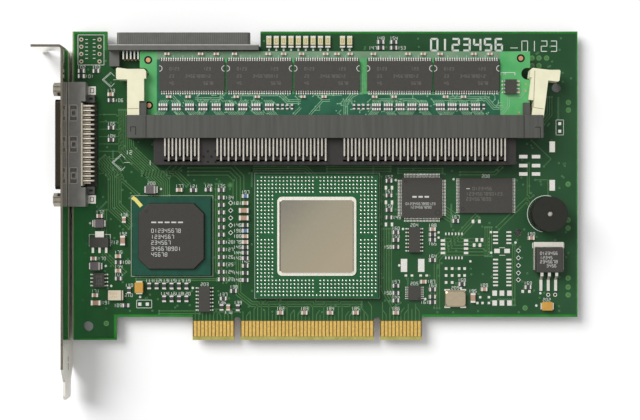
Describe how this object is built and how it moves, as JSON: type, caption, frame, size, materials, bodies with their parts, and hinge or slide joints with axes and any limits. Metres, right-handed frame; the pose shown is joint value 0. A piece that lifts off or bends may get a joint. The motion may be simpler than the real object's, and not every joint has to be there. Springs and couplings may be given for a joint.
{
  "type": "raid controller card",
  "caption": "Plug-in storage controller card with an edge connector, a bracket with an external port, an internal port, and a memory module lying flat in a latched socket.",
  "frame": {"origin": "under the middle of the card's bounding box, on the plane of the bracket's lower edge", "axes": "+X from the bracket along the card, +Y from the edge fingers to the top edge, +Z out of the component side"},
  "size_m": [0.1862, 0.1262, 0.0184],
  "materials": {
    "board_laminate": "green solder mask over laminate",
    "module_laminate": "lighter green solder mask over laminate",
    "finger_gold": "gold-plated contact",
    "bracket_steel": "bright plated steel sheet",
    "housing_plastic": "dark grey moulded plastic",
    "guide_plastic": "black moulded plastic",
    "latch_plastic": "cream moulded plastic",
    "shell_metal": "dull plated shell",
    "contact_tin": "tinned lead",
    "jack_nickel": "nickel-plated steel",
    "chip_epoxy": "moulded epoxy",
    "substrate_green": "green laminate substrate",
    "substrate_teal": "dark green laminate substrate",
    "lid_metal": "warm grey plated lid",
    "tab_tin": "tinned heat tab",
    "buzzer_plastic": "black moulded plastic",
    "lamp_lens": "pale lens on a white body",
    "tantalum_orange": "orange moulded case",
    "tantalum_dark": "dark moulded case",
    "crystal_metal": "tan plated can",
    "resonator_ceramic": "beige ceramic",
    "ceramic_tan": "tan ceramic with tinned ends",
    "resistor_ceramic": "black glaze with tinned ends",
    "film_blue": "blue glaze with tinned ends"
  },
  "bodies": {
    "card": {"circuit_board": "board_laminate", "edge_fingers": "finger_gold", "mounting_bracket": "bracket_steel", "external_port_housing": "housing_plastic", "external_port_carrier": "latch_plastic", "external_port_shell": "shell_metal", "external_port_contacts": "contact_tin", "external_port_board_locks": "contact_tin", "jack_sockets": "jack_nickel", "internal_port_housing": "housing_plastic", "internal_port_contacts": "contact_tin", "memory_socket_housing": "housing_plastic", "memory_socket_pin_guide": "guide_plastic", "memory_socket_contacts": "contact_tin", "memory_board": "module_laminate", "memory_chip_1": "chip_epoxy", "memory_chip_2": "chip_epoxy", "memory_chip_3": "chip_epoxy", "memory_chip_4": "chip_epoxy", "memory_chip_5": "chip_epoxy", "memory_resistor_packs": "resistor_ceramic", "memory_resistors": "resistor_ceramic", "memory_capacitors": "ceramic_tan", "serial_memory_chip": "chip_epoxy", "serial_memory_leads": "contact_tin", "processor_substrate": "substrate_green", "processor_lid": "lid_metal", "port_controller_substrate": "substrate_teal", "port_controller_mould": "chip_epoxy", "logic_chip": "chip_epoxy", "flash_chip": "chip_epoxy", "left_buffer_chip": "chip_epoxy", "right_buffer_chip": "chip_epoxy", "configuration_chip": "chip_epoxy", "clock_chip": "chip_epoxy", "small_chip_leads": "contact_tin", "regulator_body": "chip_epoxy", "regulator_tab": "tab_tin", "regulator_leads": "contact_tin", "small_regulator_body": "chip_epoxy", "small_regulator_terminals": "contact_tin", "buzzer": "buzzer_plastic", "buzzer_pins": "contact_tin", "status_lamps": "lamp_lens", "orange_tantalum_capacitors": "tantalum_orange", "dark_tantalum_capacitors": "tantalum_dark", "tantalum_terminals": "contact_tin", "crystal_can": "crystal_metal", "resonator": "resonator_ceramic", "ceramic_capacitors": "ceramic_tan", "large_capacitors": "ceramic_tan", "chip_resistors": "resistor_ceramic", "film_resistors": "film_blue"},
    "left_latch": {"left_latch": "latch_plastic"},
    "right_latch": {"right_latch": "latch_plastic"}
  },
  "joints": [
    {"name": "left_latch_hinge", "type": "hinge", "parent": "card", "child": "left_latch", "pos_m": [-0.05978, 0.0306, 0.0097], "axis": [0, 0, 1], "range_deg": [0, 30]},
    {"name": "right_latch_hinge", "type": "hinge", "parent": "card", "child": "right_latch", "pos_m": [0.07802, 0.0306, 0.0097], "axis": [0, 0, -1], "range_deg": [-7, 23]}
  ]
}
